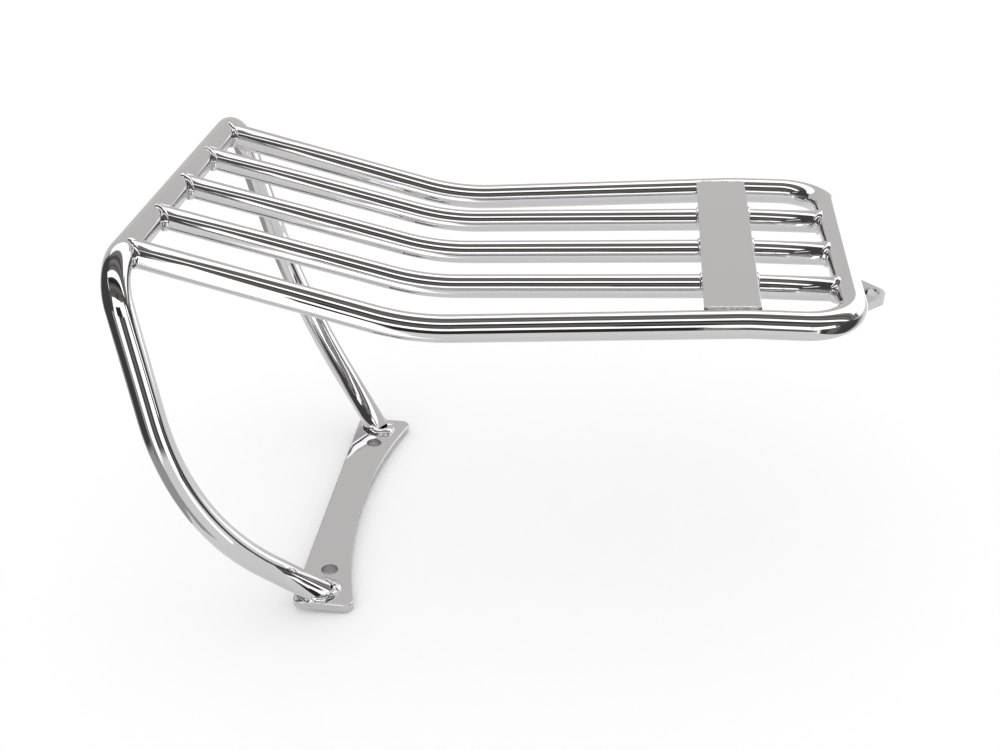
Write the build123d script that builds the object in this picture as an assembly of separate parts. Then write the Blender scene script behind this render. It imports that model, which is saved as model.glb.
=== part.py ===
from build123d import *
import os
from math import cos, radians, sin, sqrt, tan

# Chromed luggage rack for a short motorcycle rear fender, welded from bent tube and flat steel.
# X runs forward to the seat, Y to the left side, Z up. The origin lies midway between the two
# fender bolts, on the underside of the fender plate.

# tube sizes
tube_dia = 12.7
tube_wall = 2.0
bar_dia = 11.1
bar_wall = 1.8

# deck, measured on centre lines
rail_spacing = 156.0
kink_x = 61.5
deck_z = 151.5
ramp_run = 124.0
ramp_angle = 18.4
kink_radius = 113.0
level_run = 147.0
nose_run = 47.0
nose_angle = 3.45
nose_bend_radius = 150.0
nose_corner_radius = 23.0

# the bars sit a little proud of the rails at the bend and a little under them at the strap
bar_lift_rear = 1.0
bar_lift_kink = 2.5
bar_drop_strap = 0.6

# rear hoop and its legs
hoop_overhang = 20.5
hoop_corner_radius = 20.0
leg_drop = 120.5
leg_lead = 15.0
leg_flare = 17.0
leg_bend_radius = 138.0
leg_foot_x = -1.2
leg_foot_inset = 9.4

# cross strap
strap_width = 24.8
strap_thick = 1.6
strap_x = 141.0
strap_edge_round = 0.5

# fender plate
plate_length = 177.0
plate_rear = 13.5
plate_front_mid = 5.0
plate_front_end = 18.5
plate_thick = 4.7
plate_corner = 4.5
plate_tilt = 6.0
plate_edge_round = 0.8
bolt_spacing = 122.0
bolt_hole_dia = 8.6

# front bracket
bracket_width = 27.0
bracket_thick = 4.7
bracket_bend_inside = 3.0
bracket_setback = 1.8
tongue_drop = 20.7
tongue_reach = 16.2
tongue_rim = 2.8
tongue_hole_dia = 8.6

# weld beads
weld_leg = 2.4
weld_swell = 1.3
seat = 0.15
cope_land = 0.8

tube_r = tube_dia / 2
bar_r = bar_dia / 2
half_deck = rail_spacing / 2
half_hoop = half_deck + hoop_overhang
bar_pitch = rail_spacing / 4


def centre_line(corners, radii):
    """Straight runs joined by round bends, through the corner points of a bent tube."""
    corners = [Vector(*c) for c in corners]
    edges = []
    start = corners[0]
    for before, corner, after, radius in zip(corners, corners[1:], corners[2:], radii):
        back = (before - corner).normalized()
        ahead = (after - corner).normalized()
        half = radians(back.get_angle(ahead)) / 2
        first = corner + back * (radius / tan(half))
        last = corner + ahead * (radius / tan(half))
        inward = (back + ahead).normalized()
        middle = corner + inward * (radius / sin(half) - radius)
        edges.append(Edge.make_line(start, first))
        edges.append(Edge.make_three_point_arc(first, middle, last))
        start = last
    edges.append(Edge.make_line(start, corners[-1]))
    return Wire(edges)


def rod(path, dia):
    section = Plane(origin=path @ 0, z_dir=path % 0) * Circle(dia / 2)
    return sweep(section, path=path)


def one(shape):
    """The single solid of a result, or the largest where a cut left crumbs."""
    return max(shape.solids(), key=lambda s: s.volume)


# side view of the deck
rear_x = kink_x - ramp_run
rear_z = deck_z + ramp_run * tan(radians(ramp_angle))
drop_x = kink_x + level_run
nose_x = drop_x + nose_run
nose_z = deck_z - nose_run * tan(radians(nose_angle))

# one tube: forward along one side, across the nose and back along the other
rail_corners = [
    (rear_x, -half_deck, rear_z),
    (kink_x, -half_deck, deck_z),
    (drop_x, -half_deck, deck_z),
    (nose_x, -half_deck, nose_z),
    (nose_x, half_deck, nose_z),
    (drop_x, half_deck, deck_z),
    (kink_x, half_deck, deck_z),
    (rear_x, half_deck, rear_z),
]
# the tube's ends stop a hair short of the hoop's centre line, where the two are as thick as each other
for end in (0, -1):
    x, y, z = rail_corners[end]
    slope = radians(ramp_angle)
    rail_corners[end] = (x + cope_land * cos(slope), y, z - cope_land * sin(slope))
rail_radii = [kink_radius, nose_bend_radius, nose_corner_radius]
rail_path = centre_line(rail_corners, rail_radii + rail_radii[::-1])

# fender plate's own plane, on its upper face
tilt = Plane(origin=(0, 0, 0), x_dir=(cos(radians(plate_tilt)), 0, -sin(radians(plate_tilt))),
             z_dir=(sin(radians(plate_tilt)), 0, cos(radians(plate_tilt))))
plate_top = tilt.offset(plate_thick)
half_plate = plate_length / 2
foot = plate_top.from_local_coords(Vector(leg_foot_x, half_plate - leg_foot_inset, 0))

# hoop: up one leg, across and down the other; its ends run on through the plate's face and are cut there
knee = Vector(rear_x + leg_lead, half_hoop + leg_flare, rear_z - leg_drop)
run_on = foot + (foot - knee).normalized() * (2 * tube_dia)
near = [Vector(p.X, -p.Y, p.Z) for p in (run_on, knee)]
hoop_corners = [*near, Vector(rear_x, -half_hoop, rear_z), Vector(rear_x, half_hoop, rear_z), knee, run_on]
hoop_radii = [leg_bend_radius, hoop_corner_radius, hoop_corner_radius, leg_bend_radius]
hoop_path = centre_line(hoop_corners, hoop_radii)

rail_solid = rod(rail_path, tube_dia)
hoop_solid = rod(hoop_path, tube_dia)
below_plate = plate_top * Pos(0, 0, -2 * tube_dia) * Box(6 * tube_dia, 2 * plate_length, 4 * tube_dia)
perimeter_rail = one(rail_solid - rod(rail_path, tube_dia - 2 * tube_wall) - hoop_solid)
rear_hoop = one(hoop_solid - rod(hoop_path, tube_dia - 2 * tube_wall) - below_plate)


# three bars, coped onto the hoop behind and onto the nose of the rail in front
def bar_path(y):
    corners = [
        (rear_x, y, rear_z + bar_lift_rear),
        (kink_x, y, deck_z + bar_lift_kink),
        (drop_x, y, deck_z - bar_drop_strap),
        (nose_x, y, nose_z - bar_drop_strap),
    ]
    return centre_line(corners, [kink_radius, nose_bend_radius])


sides = {"near": -1, "middle": 0, "far": 1}
bar_paths = {side: bar_path(n * bar_pitch) for side, n in sides.items()}
bar_solids = {side: rod(path, bar_dia) for side, path in bar_paths.items()}
bars = {}
for side, path in bar_paths.items():
    bore = rod(path, bar_dia - 2 * bar_wall)
    bars[side] = one(bar_solids[side] - bore - hoop_solid - rail_solid)

# the strap lies along the bars' slope and bites a hair into each, so that every seat is a real face
bar_fall = (bar_lift_kink + bar_drop_strap) / level_run
strap_seat_z = deck_z + bar_lift_kink - bar_fall * strap_x + bar_r - seat
strap_plane = Plane(origin=(kink_x + strap_x, 0, strap_seat_z),
                    x_dir=(1, 0, -bar_fall), z_dir=(bar_fall, 0, 1))
strap_rise = strap_seat_z - deck_z
strap_half = half_deck - sqrt(tube_r ** 2 - strap_rise ** 2) + seat
strap_blank = strap_plane * Pos(0, 0, strap_thick / 2) * Box(strap_width, 2 * strap_half, strap_thick)
long_edges = strap_blank.edges().filter_by(GeomType.LINE).sort_by(Axis.Z)[-4:]
strap_blank = fillet(long_edges, strap_edge_round)
cross_strap = strap_blank - rail_solid
for bar in bar_solids.values():
    cross_strap = cross_strap - bar
cross_strap = one(cross_strap)

# fender plate: straight behind, hollowed by one wide arc in front
outline = Wire([
    Edge.make_line((-plate_rear, -half_plate), (plate_front_end, -half_plate)),
    Edge.make_three_point_arc((plate_front_end, -half_plate), (plate_front_mid, 0),
                              (plate_front_end, half_plate)),
    Edge.make_line((plate_front_end, half_plate), (-plate_rear, half_plate)),
    Edge.make_line((-plate_rear, half_plate), (-plate_rear, -half_plate)),
])
plate_face = Face(outline)
plate_face = fillet(plate_face.vertices(), plate_corner)
fender_plate = extrude(plate_face, plate_thick)
rims = fender_plate.faces().sort_by(Axis.Z)
fender_plate = fillet(rims[-1].edges() + rims[0].edges(), plate_edge_round)
fender_plate -= GridLocations(0, bolt_spacing, 1, 2) * Cylinder(bolt_hole_dia / 2, 4 * plate_thick)
fender_plate = one(tilt * fender_plate)

# front bracket: a web under the nose, bent forward into a tongue that lies parallel to the plate
tongue_top = Plane(origin=(nose_x + tongue_reach, 0, nose_z - tongue_drop), x_dir=tilt.x_dir, z_dir=tilt.z_dir)
tongue_mid = tongue_top.offset(-bracket_thick / 2)
web_x = nose_x + tube_r - bracket_setback - bracket_thick / 2
web_foot = tongue_mid.from_local_coords(Vector(-(tongue_mid.origin.X - web_x) / tilt.x_dir.X, 0, 0))
tip = tongue_mid.from_local_coords(Vector(tongue_hole_dia + tongue_rim, 0, 0))
strip_path = centre_line([(web_x, 0, nose_z), web_foot, tip],
                         [bracket_bend_inside + bracket_thick / 2])
strip_section = Plane(origin=strip_path @ 0, x_dir=(0, 1, 0), z_dir=strip_path % 0)
strip = sweep(strip_section * Rectangle(bracket_width, bracket_thick), path=strip_path)
nose_round = tongue_hole_dia / 2 + tongue_rim
half_width = bracket_width / 2
side_x = nose_round * sqrt(2) - half_width
touch = nose_round / sqrt(2)
back_x = -2 * tongue_reach - tube_dia - bracket_thick
plan = Wire([
    Edge.make_line((back_x, -half_width), (side_x, -half_width)),
    Edge.make_line((side_x, -half_width), (touch, -touch)),
    Edge.make_three_point_arc((touch, -touch), (nose_round, 0), (touch, touch)),
    Edge.make_line((touch, touch), (side_x, half_width)),
    Edge.make_line((side_x, half_width), (back_x, half_width)),
    Edge.make_line((back_x, half_width), (back_x, -half_width)),
])
plan_prism = tongue_top * extrude(Face(plan), 2 * tongue_drop, both=True)
hole = tongue_top * Cylinder(tongue_hole_dia / 2, 4 * bracket_thick)
front_bracket = one((strip & plan_prism) - hole - rail_solid)


# weld beads: round swellings about each joint, less the pieces they join
def ball(path, at, radius):
    """A sphere about the end of a tube that butts on a thicker one; it runs a weld's leg out along the tube."""
    heading = path % at if at == 0 else -(path % at)
    size = radius + weld_swell
    out = tube_r + weld_leg - sqrt(size ** 2 - radius ** 2)
    return Plane(origin=(path @ at) + heading * out, z_dir=heading) * Sphere(size)


grown_rail = rod(rail_path, tube_dia + 2 * weld_leg)
welds = {}
welds["weld_hoop_rail_near"] = ball(rail_path, 0, tube_r) - rail_solid - hoop_solid

# round each leg's foot the bead slopes from the leg down to the plate
leg_way = (foot - knee).normalized()
leg_slant = -leg_way.dot(plate_top.z_dir)
leg_lean = leg_way + plate_top.z_dir * leg_slant
near_foot = Vector(foot.X, -foot.Y, foot.Z)
near_way = Vector(leg_way.X, -leg_way.Y, leg_way.Z)
near_lean = Vector(leg_lean.X, -leg_lean.Y, leg_lean.Z)
skirt_rim = Plane(origin=near_foot, x_dir=near_lean, z_dir=plate_top.z_dir)
skirt_neck = Plane(origin=near_foot - near_way * (weld_leg / leg_slant), x_dir=near_lean, z_dir=plate_top.z_dir)
inner_r = tube_r - seat
skirt = loft([skirt_rim * Ellipse(tube_r / leg_slant + weld_leg, tube_r + weld_leg),
              skirt_neck * Ellipse(inner_r / leg_slant, inner_r)])
skirt = skirt & tilt * extrude(plate_face, plate_thick + 2 * weld_leg)
welds["weld_leg_near"] = skirt - hoop_solid

# a low bead fills the corner between each end of the strap and the crown of its rail
bead_y = strap_half + weld_swell
bead_z = sqrt(tube_r ** 2 - (half_deck - bead_y) ** 2) - strap_rise
corner_bead = Polygon((-strap_half + strap_edge_round, strap_thick), (-bead_y, bead_z), (-bead_y, 0),
                      (-strap_half + strap_edge_round, 0), align=None)
corner_bead = extrude(strap_plane * Plane.YZ * corner_bead, strap_width / 2 - strap_edge_round, both=True)
welds["weld_strap_rail_near"] = corner_bead - rail_solid - strap_blank

for side in ("near", "middle"):
    path = bar_paths[side]
    welds[f"weld_hoop_bar_{side}"] = ball(path, 0, bar_r) - bar_solids[side] - hoop_solid
    welds[f"weld_nose_bar_{side}"] = ball(path, 1, bar_r) - bar_solids[side] - rail_solid
    size = bar_r + weld_swell
    out = strap_width / 2 + weld_leg - sqrt(size ** 2 - bar_r ** 2)
    for edge, n in {"rear": -1, "front": 1}.items():
        swelling = strap_plane * Pos(n * out, sides[side] * bar_pitch, seat - bar_r)
        swelling = swelling * Rotation(0, 90, 0) * Sphere(size)
        block = strap_plane * Pos(n * strap_width / 2, sides[side] * bar_pitch, 0)
        block = block * Box(2 * weld_leg, 4 * bar_dia, 2 * bar_r)
        welds[f"weld_strap_bar_{side}_{edge}"] = (block & swelling) - bar_solids[side] - strap_blank

for face, n, reach in (("rear", -1, weld_leg), ("front", 1, bracket_setback)):
    bead = Pos(web_x + n * (bracket_thick + reach) / 2, 0, nose_z - tube_dia / 2)
    bead = bead * Box(reach, bracket_width, tube_dia)
    bead = (bead & grown_rail) - strip - rail_solid
    welds[f"weld_bracket_{face}"] = bead - bar_solids["middle"] - welds["weld_nose_bar_middle"]

# the far side mirrors the near one
for name in [name for name in welds if "near" in name]:
    welds[name.replace("near", "far")] = mirror(welds[name], about=Plane.XZ)

parts = {
    "perimeter_rail": perimeter_rail,
    "rear_hoop": rear_hoop,
    **{f"slat_bar_{side}": bar for side, bar in bars.items()},
    "cross_strap": cross_strap,
    "fender_plate": fender_plate,
    "front_bracket": front_bracket,
    **{name: one(weld) for name, weld in welds.items()},
}
os.makedirs("parts", exist_ok=True)
for name, solid in parts.items():
    export_step(solid, f"parts/{name}.step")
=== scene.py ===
from math import ceil, cos, pi, radians, sin, sqrt, tan

import bpy
from mathutils import Matrix, Vector, noise


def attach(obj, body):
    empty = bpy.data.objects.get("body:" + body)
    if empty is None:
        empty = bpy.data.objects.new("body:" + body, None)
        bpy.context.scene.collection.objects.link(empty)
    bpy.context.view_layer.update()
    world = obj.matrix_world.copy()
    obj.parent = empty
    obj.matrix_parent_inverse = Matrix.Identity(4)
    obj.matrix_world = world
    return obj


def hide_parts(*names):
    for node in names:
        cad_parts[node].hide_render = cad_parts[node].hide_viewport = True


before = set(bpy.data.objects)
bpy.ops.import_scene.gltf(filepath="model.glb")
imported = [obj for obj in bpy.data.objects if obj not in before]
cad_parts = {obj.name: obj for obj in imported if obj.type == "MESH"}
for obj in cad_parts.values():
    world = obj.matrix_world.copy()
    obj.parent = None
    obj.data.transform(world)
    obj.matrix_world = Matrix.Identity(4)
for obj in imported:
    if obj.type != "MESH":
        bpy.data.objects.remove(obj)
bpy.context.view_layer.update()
scene = bpy.context.scene

# The view. The rack is seen from its right-hand side, a little from the front, and from above the deck.
# The angles and the lens were solved from the edges of tubes, strap and plate in the photograph.
camera_place = Vector((0.1757, -0.5973, 0.4188))
camera_yaw = radians(8.35)
camera_pitch = radians(29.01)
camera_roll = radians(4.70)
sensor_width = 36.0
lens_length = 48.1
nearest_seen = 0.01

camera_data = bpy.data.cameras.new("camera")
camera_data.sensor_width = sensor_width
camera_data.lens = lens_length
camera_data.clip_start = nearest_seen
camera = bpy.data.objects.new("camera", camera_data)
scene.collection.objects.link(camera)
turn = Matrix.Rotation(camera_yaw, 4, "Z") @ Matrix.Rotation(pi / 2 - camera_pitch, 4, "X")
camera.matrix_world = Matrix.Translation(camera_place) @ turn @ Matrix.Rotation(-camera_roll, 4, "Z")
scene.camera = camera
scene.view_settings.view_transform = "Standard"

# Chrome plating: copper, nickel and a thin skin of chromium on polished steel. It mirrors the studio
# sharply and almost without a tint, through the faint swell that the polishing wheel left and a hazy film
# of handling. Over the weld beads it is duller and breaks the reflections up into glints.
MM = 0.001
chrome_tint = "#D6D5D6"
haze_size = 18 * MM
haze_clear = 0.35
haze_full = 0.70
haze_least = 0.7
haze_most = 1.8


def linear(code):
    """Linear colour, with alpha, of an sRGB hex value."""
    channels = [int(code[i:i + 2], 16) / 255 for i in (1, 3, 5)]
    return [c / 12.92 if c <= 0.04045 else ((c + 0.055) / 1.055) ** 2.4 for c in channels] + [1.0]


def add_node(tree, kind, settings=None, links=None, values=None):
    """A node of one kind with its settings, values on its sockets, and links from other nodes' outputs."""
    new = tree.nodes.new(kind)
    for key, value in (settings or {}).items():
        setattr(new, key, value)
    for key, value in (values or {}).items():
        new.inputs[key].default_value = value
    for key, source in (links or {}).items():
        tree.links.new(source, new.inputs[key])
    return new


def new_material(name):
    """An empty material and its node tree."""
    material = bpy.data.materials.new(name)
    material.use_nodes = True
    material.node_tree.nodes.clear()
    return material, material.node_tree


def chrome_plating(name, roughness, swell, swell_size, ripple, ripple_size):
    """Mirror plating over steel with wide swells and fine ripples: how high they are, and how far apart.
    The film of handling takes its roughness from a least to a most share of the plain one."""
    material, tree = new_material(name)
    place = add_node(tree, "ShaderNodeTexCoord").outputs["Object"]
    wide = add_node(tree, "ShaderNodeTexNoise", links={"Vector": place},
                    values={"Scale": 1 / swell_size, "Detail": 1.0})
    fine = add_node(tree, "ShaderNodeTexNoise", links={"Vector": place},
                    values={"Scale": 1 / ripple_size, "Detail": 2.0})
    haze = add_node(tree, "ShaderNodeTexNoise", links={"Vector": place},
                    values={"Scale": 1 / haze_size, "Detail": 3.0})
    dull = add_node(tree, "ShaderNodeMapRange", links={"Value": haze.outputs["Fac"]},
                    values={"From Min": haze_clear, "From Max": haze_full,
                            "To Min": roughness * haze_least, "To Max": roughness * haze_most})
    lift = add_node(tree, "ShaderNodeBump", links={"Height": wide.outputs["Fac"]},
                    values={"Distance": swell, "Strength": 1.0})
    peel = add_node(tree, "ShaderNodeBump",
                    links={"Height": fine.outputs["Fac"], "Normal": lift.outputs["Normal"]},
                    values={"Distance": ripple, "Strength": 1.0})
    shader = add_node(tree, "ShaderNodeBsdfPrincipled",
                      links={"Roughness": dull.outputs["Result"], "Normal": peel.outputs["Normal"]},
                      values={"Base Color": linear(chrome_tint), "Metallic": 1.0})
    add_node(tree, "ShaderNodeOutputMaterial", links={"Surface": shader.outputs["BSDF"]})
    return material


chrome = chrome_plating("chrome plating", roughness=0.03, swell=0.06 * MM, swell_size=14 * MM,
                        ripple=0.003 * MM, ripple_size=2.2 * MM)
weld_chrome = chrome_plating("chrome plating over weld", roughness=0.05, swell=0.15 * MM, swell_size=3 * MM,
                             ripple=0.02 * MM, ripple_size=0.9 * MM)

# Perimeter rail: one length of half-inch steel tube, bent forward along one side, round the nose and back
# along the other. Each end is coped and welded to the rear hoop, so it ends inside that tube here.
tube_dia = 12.7 * MM
half_deck = 78.0 * MM
kink_x = 61.5 * MM
deck_z = 151.5 * MM
ramp_run = 124.0 * MM
ramp_angle = radians(18.4)
level_run = 147.0 * MM
nose_run = 47.0 * MM
nose_fall = radians(3.45)
kink_radius = 113.0 * MM
nose_bend_radius = 150.0 * MM
nose_corner_radius = 23.0 * MM
rear_x = kink_x - ramp_run
rear_z = deck_z + ramp_run * tan(ramp_angle)
drop_x = kink_x + level_run
nose_x = drop_x + nose_run
nose_z = deck_z - nose_run * tan(nose_fall)
bend_step = radians(2)
fewest_bend_steps = 6
tube_facets = 96


def bent_line(corners, radii):
    """The centre line of a bent tube: its straight runs, and an arc of true radius at each corner."""
    corners = [Vector(c) for c in corners]
    points = [corners[0]]
    for before, corner, after, radius in zip(corners, corners[1:], corners[2:], radii):
        back = (before - corner).normalized()
        ahead = (after - corner).normalized()
        half = back.angle(ahead) / 2
        centre = corner + (back + ahead).normalized() * (radius / sin(half))
        first = corner + back * (radius / tan(half)) - centre
        last = corner + ahead * (radius / tan(half)) - centre
        turned = pi - 2 * half
        steps = max(fewest_bend_steps, ceil(turned / bend_step))
        for i in range(steps + 1):
            a = turned * i / steps
            points.append(centre + (first * sin(turned - a) + last * sin(a)) / sin(turned))
    points.append(corners[-1])
    return points


def add_piece(name, mesh, material, *nodes):
    """A finished mesh as a piece of the rack, in place of the CAD nodes it details."""
    mesh.materials.append(material)
    piece = bpy.data.objects.new(name, mesh)
    scene.collection.objects.link(piece)
    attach(piece, "root")
    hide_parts(*nodes)


def swept_mesh(name, points, radius_at, around, closed=False):
    """A round skin about a line of points. radius_at gives the radius at a point's index and an angle."""
    count = len(points)
    verts = []
    side = None
    for i, point in enumerate(points):
        before = points[i - 1] if closed or i else points[0]
        after = points[(i + 1) % count] if closed or i < count - 1 else points[-1]
        heading = (after - before).normalized()
        if side is None:
            side = heading.orthogonal()
        side = (side - heading * side.dot(heading)).normalized()
        up = heading.cross(side)
        for k in range(around):
            a = 2 * pi * k / around
            verts.append(point + (side * cos(a) + up * sin(a)) * radius_at(i, a))
    faces = []
    for i in range(count if closed else count - 1):
        j = (i + 1) % count
        for k in range(around):
            n = (k + 1) % around
            faces.append((i * around + k, i * around + n, j * around + n, j * around + k))
    if not closed:
        faces.append(tuple(range(around)))
        faces.append(tuple((count - 1) * around + k for k in reversed(range(around))))
    mesh = bpy.data.meshes.new(name)
    mesh.from_pydata(verts, [], faces)
    mesh.shade_smooth()
    return mesh


def tube(name, points, dia, *nodes):
    """A plated tube along its centre line, with finer facets than its CAD solid."""
    mesh = swept_mesh(name, points, lambda i, a: dia / 2, tube_facets)
    add_piece(name, mesh, chrome, *nodes)


rail_side = [(rear_x, rear_z), (kink_x, deck_z), (drop_x, deck_z), (nose_x, nose_z)]
rail_corners = [(x, -half_deck, z) for x, z in rail_side] + [(x, half_deck, z) for x, z in rail_side[::-1]]
rail_radii = [kink_radius, nose_bend_radius, nose_corner_radius]
rail_line = bent_line(rail_corners, rail_radii + rail_radii[::-1])
tube("perimeter_rail_tube", rail_line, tube_dia, "perimeter_rail")

# Rear hoop: the same tube, up one leg, across the raised rear edge and down the other leg. The legs splay
# outward and curve in and forward to the fender plate, where they are welded to its upper face.
half_hoop = 98.5 * MM
hoop_corner_radius = 20.0 * MM
leg_bend_radius = 138.0 * MM
knee_forward = 15.0 * MM
knee_out = 17.0 * MM
knee_down = 120.5 * MM
plate_thick = 4.7 * MM
plate_tilt = radians(6)
foot_behind = 1.2 * MM
foot_out = 79.1 * MM
foot_buried = 1.5 * MM
knee = Vector((rear_x + knee_forward, half_hoop + knee_out, rear_z - knee_down))
plate_along = Vector((cos(plate_tilt), 0, -sin(plate_tilt)))
plate_normal = Vector((sin(plate_tilt), 0, cos(plate_tilt)))
foot = plate_normal * plate_thick - plate_along * foot_behind + Vector((0, foot_out, 0))
foot_end = foot + (foot - knee).normalized() * foot_buried
mirrored = Vector((1, -1, 1))
hoop_corners = [foot_end * mirrored, knee * mirrored, (rear_x, -half_hoop, rear_z),
                (rear_x, half_hoop, rear_z), knee, foot_end]
hoop_radii = [leg_bend_radius, hoop_corner_radius, hoop_corner_radius, leg_bend_radius]
hoop_line = bent_line(hoop_corners, hoop_radii)
tube("rear_hoop_tube", hoop_line, tube_dia, "rear_hoop")

# Slat bars: three thinner steel tubes that follow the side rails, a hair proud of them at the bend. They
# are coped and welded to the rear hoop and to the nose of the rail.
bar_dia = 11.1 * MM
bar_spread = 39.0 * MM
bar_lift_rear = 1.0 * MM
bar_lift_kink = 2.5 * MM
bar_drop = 0.6 * MM
bar_side = [(rear_x, rear_z + bar_lift_rear), (kink_x, deck_z + bar_lift_kink),
            (drop_x, deck_z - bar_drop), (nose_x, nose_z - bar_drop)]
bar_places = {"near": -bar_spread, "middle": 0, "far": bar_spread}
bar_lines = {}
for side, y in bar_places.items():
    bar_lines[side] = bent_line([(x, y, z) for x, z in bar_side], [kink_radius, nose_bend_radius])
    tube(f"slat_bar_{side}_tube", bar_lines[side], bar_dia, f"slat_bar_{side}")

# Weld beads of the deck: steel run round each bar and side rail where it butts on the hoop, and round each
# bar at the nose of the rail. They were left as they cooled, with ripples and small lumps, dressed a little
# on top, and plated over with the rest. Heights of ripples, lumps and pits are shares of a bead's radius.
bead_facets = 40
ripple_pitch = 2.0 * MM
ripple_height = 0.015
ripple_slant = 0.6
lump_pitch = 3.4 * MM
lump_height = 0.22
pit_height = 0.12
pit_fineness = 2.1
pit_spread = 0.8
seed_steps = (17.3, 5.1, 9.7)
tail_size = 0.35
tail_share = 0.12
joint_size = 2.1 * MM
joint_sink = 1.05 * MM
rail_joint_sink = joint_sink * 1.2
joint_steps = 150
joint_forward = 0.8
dressed = 0.45
dressed_rough = 0.8


def add_bead(node, points, size, seed, rough=1.0, closed=True, pitch=lump_pitch):
    """A run of weld along a line, in place of its CAD bead: fine ripples across it, and lumps and pits that
    follow no pattern. An open run tapers at both ends."""
    offset = Vector([seed * step for step in seed_steps])
    lengths = [0.0]
    for before, after in zip(points, points[1:]):
        lengths.append(lengths[-1] + (after - before).length)

    def radius_at(i, a):
        ripple = ripple_height * abs(sin(pi * lengths[i] / ripple_pitch + ripple_slant * cos(a)))
        place = points[i] / pitch + offset
        pit_place = place * pit_fineness + Vector((cos(a), sin(a), 0)) * pit_spread
        lump = lump_height * noise.noise(place) + pit_height * noise.noise(pit_place)
        from_end = min(i, len(points) - 1 - i) / (len(points) * tail_share)
        tail = 1.0 if closed else min(1.0, tail_size + from_end)
        return size * tail * (1 + rough * (ripple + lump))

    mesh = swept_mesh(f"{node}_bead", points, radius_at, bead_facets, closed)
    add_piece(mesh.name, mesh, weld_chrome, node)


def butt_line(end, axis, heading, radius, sink):
    """The line round a bar where it butts on a cross tube whose axis runs through one point. It is drawn in
    under the skin, more so on top, where the weld was dressed."""
    side = Vector((0, 1, 0))
    up = heading.cross(side)
    flat = Vector((heading.x, 0, heading.z))
    points = []
    for k in range(joint_steps):
        a = 2 * pi * k / joint_steps
        out = side * cos(a) + up * sin(a)
        start = end + out * radius - axis
        spot = Vector((start.x, 0, start.z))
        along = spot.dot(flat) / flat.length_squared
        within = (spot.length_squared - (tube_dia / 2) ** 2) / flat.length_squared
        reach = -along + sqrt(max(0.0, along * along - within))
        deep = sink * (1 + dressed * max(0.0, out.z))
        points.append(end + out * (radius - deep) + heading * (reach + deep * joint_forward))
    return points


hoop_axis = Vector((rear_x, 0, rear_z))
nose_axis = Vector((nose_x, 0, nose_z))
for number, (side, line) in enumerate(bar_lines.items()):
    level = Vector((0, bar_places[side], 0))
    from_hoop = (line[1] - line[0]).normalized()
    from_nose = (line[-2] - line[-1]).normalized()
    round_hoop = butt_line(line[0], hoop_axis + level, from_hoop, bar_dia / 2, joint_sink)
    add_bead(f"weld_hoop_bar_{side}", round_hoop, joint_size, seed=number + 1, rough=dressed_rough)
    round_nose = butt_line(line[-1], nose_axis + level, from_nose, bar_dia / 2, joint_sink)
    add_bead(f"weld_nose_bar_{side}", round_nose, joint_size, seed=number + 4)

for number, (side, way) in enumerate({"near": -1, "far": 1}.items()):
    level = Vector((0, way * half_deck, 0))
    ends = [rail_line[0], rail_line[1]] if way < 0 else [rail_line[-1], rail_line[-2]]
    from_hoop = (ends[1] - ends[0]).normalized()
    round_hoop = butt_line(ends[0], hoop_axis + level, from_hoop, tube_dia / 2, rail_joint_sink)
    add_bead(f"weld_hoop_rail_{side}", round_hoop, joint_size, seed=number + 8, rough=dressed_rough)

# Weld beads of the strap: short runs up both flanks of each bar at the strap's two edges, and a seam along
# each end of the strap, dressed nearly flat, so that only its pits and high spots still catch the light.
strap_width = 24.8 * MM
strap_thick = 1.6 * MM
strap_bite = 0.15 * MM
strap_from_kink = 141.0 * MM
strap_x = kink_x + strap_from_kink
bar_fall = (bar_lift_kink + bar_drop) / (drop_x - kink_x)
bar_top = deck_z + bar_lift_kink - bar_fall * (strap_x - kink_x) + bar_dia / 2
flank_size = 0.95 * MM
flank_gap = 0.15 * MM
flank_sink = 0.15 * MM
flank_reach = radians(105)
flank_steps = 60
for number, (side, y) in enumerate(bar_places.items()):
    for edge, way in {"rear": -1, "front": 1}.items():
        out = way * (strap_width / 2 + flank_gap)
        centre = Vector((strap_x + out, y, bar_top - bar_dia / 2 - bar_fall * out))
        points = []
        for k in range(flank_steps + 1):
            a = flank_reach * (2 * k / flank_steps - 1)
            points.append(centre + Vector((0, -sin(a), cos(a))) * (bar_dia / 2 - flank_sink))
        add_bead(f"weld_strap_bar_{side}_{edge}", points, flank_size, seed=12 + 2 * number + way,
                 rough=dressed_rough, closed=False)

seam_size = 1.05 * MM
seam_depth = seam_size * 0.82
seam_inset = 1.3 * MM
seam_out = 0.10 * MM
seam_rough = 1.2
seam_steps = 110
strap_under = bar_top - strap_bite
strap_end = half_deck - sqrt((tube_dia / 2) ** 2 - (strap_under - deck_z) ** 2) + strap_bite
for number, (side, way) in enumerate({"near": -1, "far": 1}.items()):
    points = []
    for k in range(seam_steps + 1):
        out = (strap_width / 2 - seam_inset) * (2 * k / seam_steps - 1)
        height = strap_under + strap_thick - seam_depth - bar_fall * out
        points.append(Vector((strap_x + out, way * (strap_end + seam_out), height)))
    add_bead(f"weld_strap_rail_{side}", points, seam_size, seed=21 + number, rough=seam_rough, closed=False)

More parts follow.
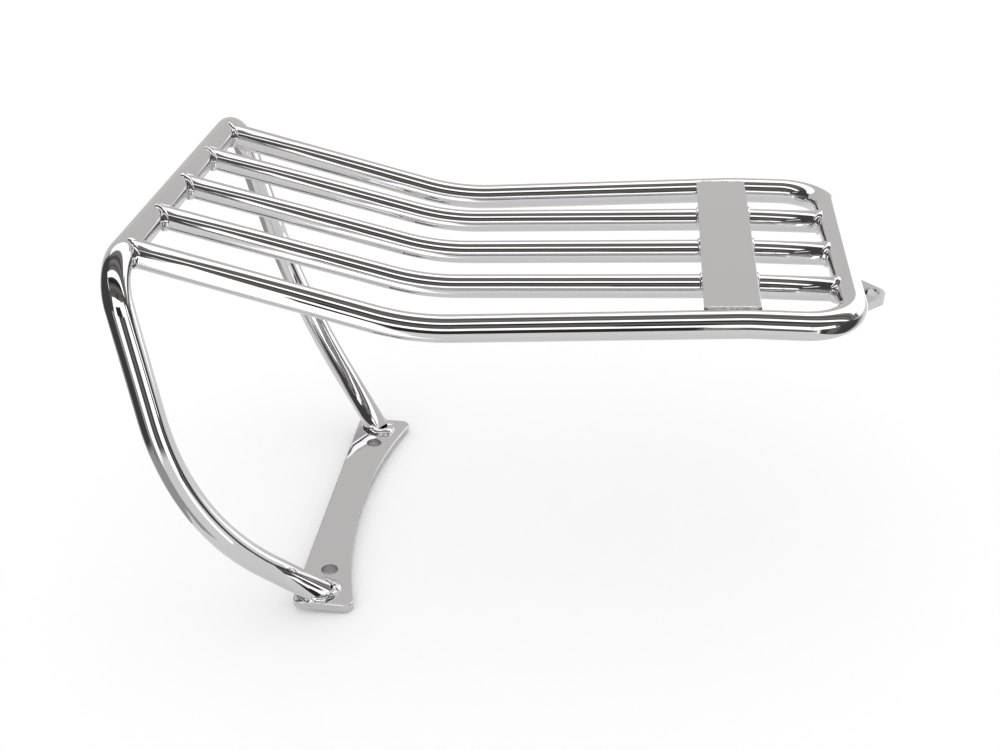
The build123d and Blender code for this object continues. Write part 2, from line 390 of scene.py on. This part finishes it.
# Weld beads of the legs: the heaviest in the rack, round each slanting foot on the fender plate, coarse and
# pitted, with the metal drawn up the leg.
leg_way = (foot - knee).normalized()
leg_slant = -leg_way.dot(plate_normal)
leg_lean = (leg_way + plate_normal * leg_slant).normalized()
leg_side = plate_normal.cross(leg_lean)
foot_size = 3.3 * MM
foot_sink = 0.8 * MM
foot_below = 0.5 * MM
foot_lumps = 6.0 * MM
foot_rough = 1.3
foot_steps = 220
for number, (side, way) in enumerate({"near": -1, "far": 1}.items()):
    points = []
    for k in range(foot_steps):
        a = 2 * pi * k / foot_steps
        point = foot + leg_lean * (cos(a) * (tube_dia / 2 / leg_slant - foot_sink))
        point = point + leg_side * (sin(a) * (tube_dia / 2 - foot_sink)) - plate_normal * foot_below
        points.append(Vector((point.x, way * point.y, point.z)))
    run = points if way > 0 else points[::-1]
    add_bead(f"weld_leg_{side}", run, foot_size, seed=31 + number, rough=foot_rough, pitch=foot_lumps)

# Strap, fender plate and front bracket: flat steel, cut, drilled and bent. They and the bracket's two weld
# beads keep their CAD solids and take the same plating.
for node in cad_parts.values():
    node.data.materials.clear()
    node.data.materials.append(chrome)

# The floor: a wide sheet of matt white paper under the rack, which takes its soft shadow. It has a little
# glow of its own for the camera alone, so that it comes out as pale as in the photograph.
floor_drop = 2.0 * MM
floor_size = 8.0
paper_colour = "#F4F4F4"
paper_glow = 0.13


def card_mesh(name, corners):
    """A flat card through four corners, mapped from 0 to 1 along both of its edges."""
    mesh = bpy.data.meshes.new(name)
    mesh.from_pydata(corners, [], [(0, 1, 2, 3)])
    mapping = mesh.uv_layers.new(name="UVMap")
    for loop, place in zip(mapping.data, ((0, 0), (1, 0), (1, 1), (0, 1))):
        loop.uv = place
    return mesh


def stage_piece(name, mesh, material):
    """A piece of the studio, which is no part of the rack."""
    mesh.materials.append(material)
    piece = bpy.data.objects.new(name, mesh)
    scene.collection.objects.link(piece)
    return piece


paper, tree = new_material("white paper")
diffuse = add_node(tree, "ShaderNodeBsdfDiffuse", values={"Color": linear(paper_colour)})
rays = add_node(tree, "ShaderNodeLightPath")
glow = add_node(tree, "ShaderNodeMath", {"operation": "MULTIPLY"}, {0: rays.outputs["Is Camera Ray"]},
                {1: paper_glow})
light = add_node(tree, "ShaderNodeEmission", links={"Strength": glow.outputs["Value"]})
both = add_node(tree, "ShaderNodeAddShader", links={0: diffuse.outputs["BSDF"], 1: light.outputs["Emission"]})
add_node(tree, "ShaderNodeOutputMaterial", links={"Surface": both.outputs["Shader"]})
paper.cycles.emission_sampling = "NONE"
ground = -floor_drop
edge = floor_size / 2
floor_corners = [(-edge, -edge, ground), (edge, -edge, ground), (edge, edge, ground), (-edge, edge, ground)]
stage_piece("floor", card_mesh("floor", floor_corners), paper)

# The studio: soft boxes, white cards and dark flags of paper board with soft edges, as they are set up for
# pictures of polished things. The plating mirrors them. Only reflected rays see them, so that they throw no
# light and no shadow of their own. A card's number is its strength, and 1 shows its tone as written.
white = "#FFFFFF"
bright = 1.9
card_bright = 1.8
behind_bright = 1.6
high_bright = 1.5
plain = 1.0


def mirrored_piece(name, mesh, material):
    """A piece of the studio that is seen only in the plating."""
    material.cycles.emission_sampling = "NONE"
    piece = stage_piece(name, mesh, material)
    piece.visible_camera = False
    piece.visible_diffuse = False
    piece.visible_shadow = False


def studio_card(name, corners, tone, strength, soft):
    """A card or soft box that the plating mirrors. soft is the share of each edge over which it fades out."""
    material, tree = new_material(name)
    place = add_node(tree, "ShaderNodeUVMap", {"uv_map": "UVMap"}).outputs["UV"]
    parts = add_node(tree, "ShaderNodeSeparateXYZ", links={"Vector": place})
    fades = []
    for axis, fade in zip("XY", soft):
        away = add_node(tree, "ShaderNodeMath", {"operation": "PINGPONG"}, {0: parts.outputs[axis]}, {1: 0.5})
        ramp = add_node(tree, "ShaderNodeMapRange", {"interpolation_type": "SMOOTHSTEP"},
                        {"Value": away.outputs["Value"]}, {"From Max": fade})
        fades.append(ramp.outputs["Result"])
    cover = add_node(tree, "ShaderNodeMath", {"operation": "MULTIPLY"}, {0: fades[0], 1: fades[1]})
    light = add_node(tree, "ShaderNodeEmission", values={"Color": linear(tone), "Strength": strength})
    clear = add_node(tree, "ShaderNodeBsdfTransparent")
    mixed = add_node(tree, "ShaderNodeMixShader",
                     links={"Fac": cover.outputs["Value"], 1: clear.outputs["BSDF"],
                            2: light.outputs["Emission"]})
    add_node(tree, "ShaderNodeOutputMaterial", links={"Surface": mixed.outputs["Shader"]})
    mirrored_piece(name, card_mesh(name, corners), material)


# Overhead hang a soft box, behind the rack, and higher up a long strip light, which a second one carries
# on far to the right.
box_z = 1.0
ceiling = 5.0
studio_card("soft_box_behind",
            [(-0.9, 0.24, box_z), (2.6, 0.40, box_z), (2.4, 1.7, box_z), (-0.9, 1.5, box_z)],
            white, bright, (0.05, 0.10))
studio_card("strip_light",
            [(-4.5, -3.00, ceiling), (7.0, -3.00, ceiling), (7.0, -1.42, ceiling), (-4.5, -1.42, ceiling)],
            white, bright, (0.02, 0.14))
studio_card("strip_light_far_end",
            [(6.9, -3.1, ceiling), (60.0, -8.0, ceiling), (60.0, -3.0, ceiling), (6.9, -1.45, ceiling)],
            white, bright, (0.003, 0.15))

# Behind the rack stand a grey backdrop and, to its right and just in front of it, a white card. A dark flag
# closes the left end of the studio.
backdrop_y = 0.5
card_behind_y = backdrop_y - 0.01
flag_left_x = -0.37
studio_card("backdrop",
            [(-1.3, backdrop_y, ground), (0.44, backdrop_y, ground), (0.44, backdrop_y, 0.50),
             (-1.3, backdrop_y, 1.05)],
            "#D9D6D6", plain, (0.02, 0.03))
studio_card("card_behind",
            [(0.40, card_behind_y, ground), (1.9, card_behind_y, ground), (1.9, card_behind_y, 0.62),
             (0.40, card_behind_y, 0.62)],
            white, behind_bright, (0.02, 0.05))
studio_card("flag_left",
            [(flag_left_x, -0.90, ground), (flag_left_x, 0.12, ground), (flag_left_x, 0.12, 0.40),
             (flag_left_x, -0.90, 0.40)],
            "#4B4A4A", plain, (0.08, 0.10))

# On the near side three white cards stand about the camera, in one row, and a small one hangs high on the
# left. They are the broad white bands along the near sides of the rails and bars.
near_y = -0.62
high_left_x = -0.6
studio_card("card_left_of_camera",
            [(-0.21, near_y, ground), (-0.01, near_y, ground), (-0.01, near_y, 0.41), (-0.21, near_y, 0.41)],
            white, bright, (0.12, 0.06))
studio_card("card_below_camera",
            [(-0.03, near_y, 0.20), (0.50, near_y, 0.10), (0.50, near_y, 0.35), (-0.03, near_y, 0.41)],
            white, card_bright, (0.05, 0.12))
studio_card("card_right_of_camera",
            [(0.40, near_y, ground), (1.10, near_y, ground), (1.10, near_y, 0.36), (0.40, near_y, 0.34)],
            white, card_bright, (0.05, 0.10))
studio_card("card_high_left",
            [(high_left_x, -0.95, 0.69), (high_left_x, -0.40, 0.69), (high_left_x, -0.40, 0.79),
             (high_left_x, -0.95, 0.79)],
            white, high_bright, (0.15, 0.30))

# In front of those cards come the dark shapes round the lens: the photographer, the camera body and the
# edge of the table. A dark flag closes the right end of the studio.
dark_y = -0.53
flag_right_x = 1.3
studio_card("photographer",
            [(-0.10, dark_y, ground), (0.25, dark_y, ground), (0.21, dark_y, 0.225), (-0.08, dark_y, 0.225)],
            "#343334", plain, (0.06, 0.04))
studio_card("table_edge",
            [(0.20, dark_y, ground), (0.60, dark_y, ground), (0.60, dark_y, 0.04), (0.20, dark_y, 0.15)],
            "#666564", plain, (0.1, 0.06))
studio_card("camera_body",
            [(0.13, dark_y, 0.33), (0.22, dark_y, 0.33), (0.22, dark_y, 0.44), (0.13, dark_y, 0.44)],
            "#1C1B1A", plain, (0.1, 0.1))
studio_card("flag_right",
            [(flag_right_x, -0.60, ground), (flag_right_x, 0.13, ground), (flag_right_x, 0.13, 0.05),
             (flag_right_x, -0.60, 0.80)],
            "#555454", plain, (0.05, 0.10))

# Three upright screens of striped board stand round the near leg, outside the rack: in front, on its left
# and far on its right. Their black, grey and white strips give that tube its bands, paler below a cut.
# A strip: its first and last turn from the near side in degrees, its tone above the cut and the one below.
black = "#343434"
dim = "#555555"
grey = "#7E7E7E"
pale = "#B4B4B4"
leg_strips = [(-100, -38, black, grey), (-34, -20, grey, grey), (-16, 1, white, pale),
              (8, 14, black, pale), (19, 28, dim, pale), (32, 40, black, pale), (46, 59, white, white),
              (65, 71, black, black), (75, 79, dim, dim), (83, 92, black, black),
              (98, 110, pale, pale), (116, 130, white, white), (138, 144, grey, grey)]
edges_above = [(turn, above) for first, last, above, below in leg_strips for turn in (first, last)]
edges_below = [(turn, below) for first, last, above, below in leg_strips for turn in (first, last)]
first_turn = leg_strips[0][0]
last_turn = leg_strips[-1][1]
cut_height = 85 * MM
cut_rise = 15 * MM
cut_rise_turns = 20
cut_blend = 5 * MM
screen_rows = 12
screen_step = 3
front_turns = range(-42, 64, screen_step)
left_turns = range(-99, -38, screen_step)
far_turns = range(62, 143, screen_step)
screen_bottom = 33 * MM
screen_top = 172 * MM
front_gap = 40 * MM
left_gap = 55 * MM
far_gap = 410 * MM
far_top = 140 * MM
far_share = 0.915
far_shift = 2.1
leg_inner_y = -70 * MM
leg_line = [point for point in hoop_line if point.y < leg_inner_y]


def leg_place(height):
    """Where the near leg's centre line stands at a height, seen from above."""
    for low, high in zip(leg_line, leg_line[1:]):
        if low.z <= height <= high.z:
            return low.lerp(high, (height - low.z) / (high.z - low.z)).xy
    end = leg_line[0] if height < leg_line[0].z else leg_line[-1]
    return end.xy


def strip_place(turn):
    """Where a turn lies along the strips, from 0 at the first to 1 at the last."""
    return (turn - first_turn) / (last_turn - first_turn)


def leg_screen(name, turns, reach, bottom, top, near_by=True):
    """An upright screen that the near leg sees over a range of turns. reach gives its distance along a way.
    One that is near by leans with the leg and has the cut. A far one is plumb, its strips a little wider."""
    verts, marks, faces = [], [], []
    for turn in turns:
        way = Vector((sin(radians(turn)), -cos(radians(turn))))
        strip_turn = turn if near_by else turn * far_share + far_shift
        risen = min(1.0, max(0.0, (turn + cut_rise_turns) / cut_rise_turns))
        cut = cut_height + cut_rise * risen
        for row in range(screen_rows + 1):
            height = bottom + (top - bottom) * row / screen_rows
            spot = leg_place(height if near_by else top) + way * reach(way)
            verts.append((spot.x, spot.y, height))
            above_cut = (height - cut) / cut_blend if near_by else 1.0
            marks.append((strip_place(strip_turn), above_cut))
    for column in range(len(turns) - 1):
        for row in range(screen_rows):
            k = column * (screen_rows + 1) + row
            faces.append((k, k + 1, k + screen_rows + 2, k + screen_rows + 1))
    mesh = bpy.data.meshes.new(name)
    mesh.from_pydata(verts, [], faces)
    mapping = mesh.uv_layers.new(name="UVMap")
    for loop in mesh.loops:
        mapping.data[loop.index].uv = marks[loop.vertex_index]
    material, tree = new_material(name)
    place = add_node(tree, "ShaderNodeUVMap", {"uv_map": "UVMap"}).outputs["UV"]
    parts = add_node(tree, "ShaderNodeSeparateXYZ", links={"Vector": place})
    tones = []
    for edges in (edges_below, edges_above):
        ramp = add_node(tree, "ShaderNodeValToRGB", links={"Fac": parts.outputs["X"]})
        stops = ramp.color_ramp.elements
        while len(stops) < len(edges):
            stops.new(0.5)
        for stop, (turn, tone) in zip(stops, edges):
            stop.position = strip_place(turn)
            stop.color = linear(tone)
        tones.append(ramp.outputs["Color"])
    above = add_node(tree, "ShaderNodeMapRange", {"interpolation_type": "SMOOTHSTEP"},
                     {"Value": parts.outputs["Y"]}, {"From Min": -1.0, "From Max": 1.0})
    tone = add_node(tree, "ShaderNodeMixRGB",
                    links={"Fac": above.outputs["Result"], "Color1": tones[0], "Color2": tones[1]})
    light = add_node(tree, "ShaderNodeEmission", links={"Color": tone.outputs["Color"]},
                     values={"Strength": bright})
    clear = add_node(tree, "ShaderNodeBsdfTransparent")
    outside = add_node(tree, "ShaderNodeNewGeometry").outputs["Backfacing"]
    mixed = add_node(tree, "ShaderNodeMixShader",
                     links={"Fac": outside, 1: light.outputs["Emission"], 2: clear.outputs["BSDF"]})
    add_node(tree, "ShaderNodeOutputMaterial", links={"Surface": mixed.outputs["Shader"]})
    mirrored_piece(name, mesh, material)


leg_screen("screen_in_front", front_turns, lambda way: front_gap / -way.y, screen_bottom, screen_top)
leg_screen("screen_on_left", left_turns, lambda way: left_gap / -way.x, screen_bottom, screen_top)
leg_screen("screen_far_right", far_turns, lambda way: far_gap / way.x, ground, far_top, near_by=False)

# Grey paper lies on the floor to the left, where the far leg mirrors it. Two small white cards stand beside
# the near leg, where the underside of the rail above it mirrors them.
by_leg_y = -0.145
under_rail_y = -0.118
studio_card("grey_paper", [(-0.60, -0.25, 0.0), (-0.17, -0.25, 0.0), (-0.17, 0.35, 0.0), (-0.60, 0.35, 0.0)],
            "#A8A7A7", plain, (0.10, 0.10))
studio_card("card_by_leg",
            [(-0.010, by_leg_y, 0.080), (0.045, by_leg_y, 0.080), (0.045, by_leg_y, 0.152),
             (-0.010, by_leg_y, 0.190)],
            white, bright, (0.15, 0.06))
studio_card("card_under_rail",
            [(-0.013, under_rail_y, 0.120), (0.024, under_rail_y, 0.110), (0.024, under_rail_y, 0.177),
             (-0.013, under_rail_y, 0.184)],
            white, bright, (0.10, 0.06))

# The room beyond them is dim in reflections: a darker ceiling between the lights, and darkness on the left.
# For all other rays it is plain white light. A tone stands at its turn from the near horizon over the top,
# as a share of half a turn, and the last one goes on to the horizon behind.
room_tones = [(0.0, "#8A8986"), (0.13, "#6C6B69"), (0.19, "#5F5E5D"), (0.235, "#787774"), (0.262, "#585756"),
              (0.28, "#2A2A2B"), (0.31, "#38383A"), (0.42, "#888784"), (0.46, "#5E5D5C"), (0.51, "#8D8C89"),
              (0.56, "#484848"), (0.60, "#848381")]
left_tone = "#4B4A4A"
left_begins = -0.35
left_full = -0.7
world = bpy.data.worlds.new("studio")
scene.world = world
world.use_nodes = True
world.cycles.sampling_method = "NONE"
tree = world.node_tree
tree.nodes.clear()
way = add_node(tree, "ShaderNodeTexCoord").outputs["Generated"]
parts = add_node(tree, "ShaderNodeSeparateXYZ", links={"Vector": way})
toward = add_node(tree, "ShaderNodeMath", {"operation": "MULTIPLY"}, {0: parts.outputs["Y"]}, {1: -1.0})
tilted = add_node(tree, "ShaderNodeMath", {"operation": "ARCTAN2"},
                  {0: parts.outputs["Z"], 1: toward.outputs["Value"]})
turned = add_node(tree, "ShaderNodeMath", {"operation": "DIVIDE"}, {0: tilted.outputs["Value"]}, {1: pi})
room = add_node(tree, "ShaderNodeValToRGB", links={"Fac": turned.outputs["Value"]})
stops = room.color_ramp.elements
while len(stops) < len(room_tones):
    stops.new(0.5)
for stop, (place, tone) in zip(stops, room_tones):
    stop.position = place
    stop.color = linear(tone)
leftward = add_node(tree, "ShaderNodeMapRange", {"interpolation_type": "SMOOTHSTEP"},
                    {"Value": parts.outputs["X"]}, {"From Min": left_begins, "From Max": left_full})
dimmed = add_node(tree, "ShaderNodeMixRGB",
                  links={"Fac": leftward.outputs["Result"], "Color1": room.outputs["Color"]},
                  values={"Color2": linear(left_tone)})
rays = add_node(tree, "ShaderNodeLightPath")
walls = add_node(tree, "ShaderNodeMixRGB",
                 links={"Fac": rays.outputs["Is Glossy Ray"], "Color2": dimmed.outputs["Color"]},
                 values={"Color1": linear(white)})
light = add_node(tree, "ShaderNodeBackground", links={"Color": walls.outputs["Color"]})
add_node(tree, "ShaderNodeOutputWorld", links={"Surface": light.outputs["Background"]})
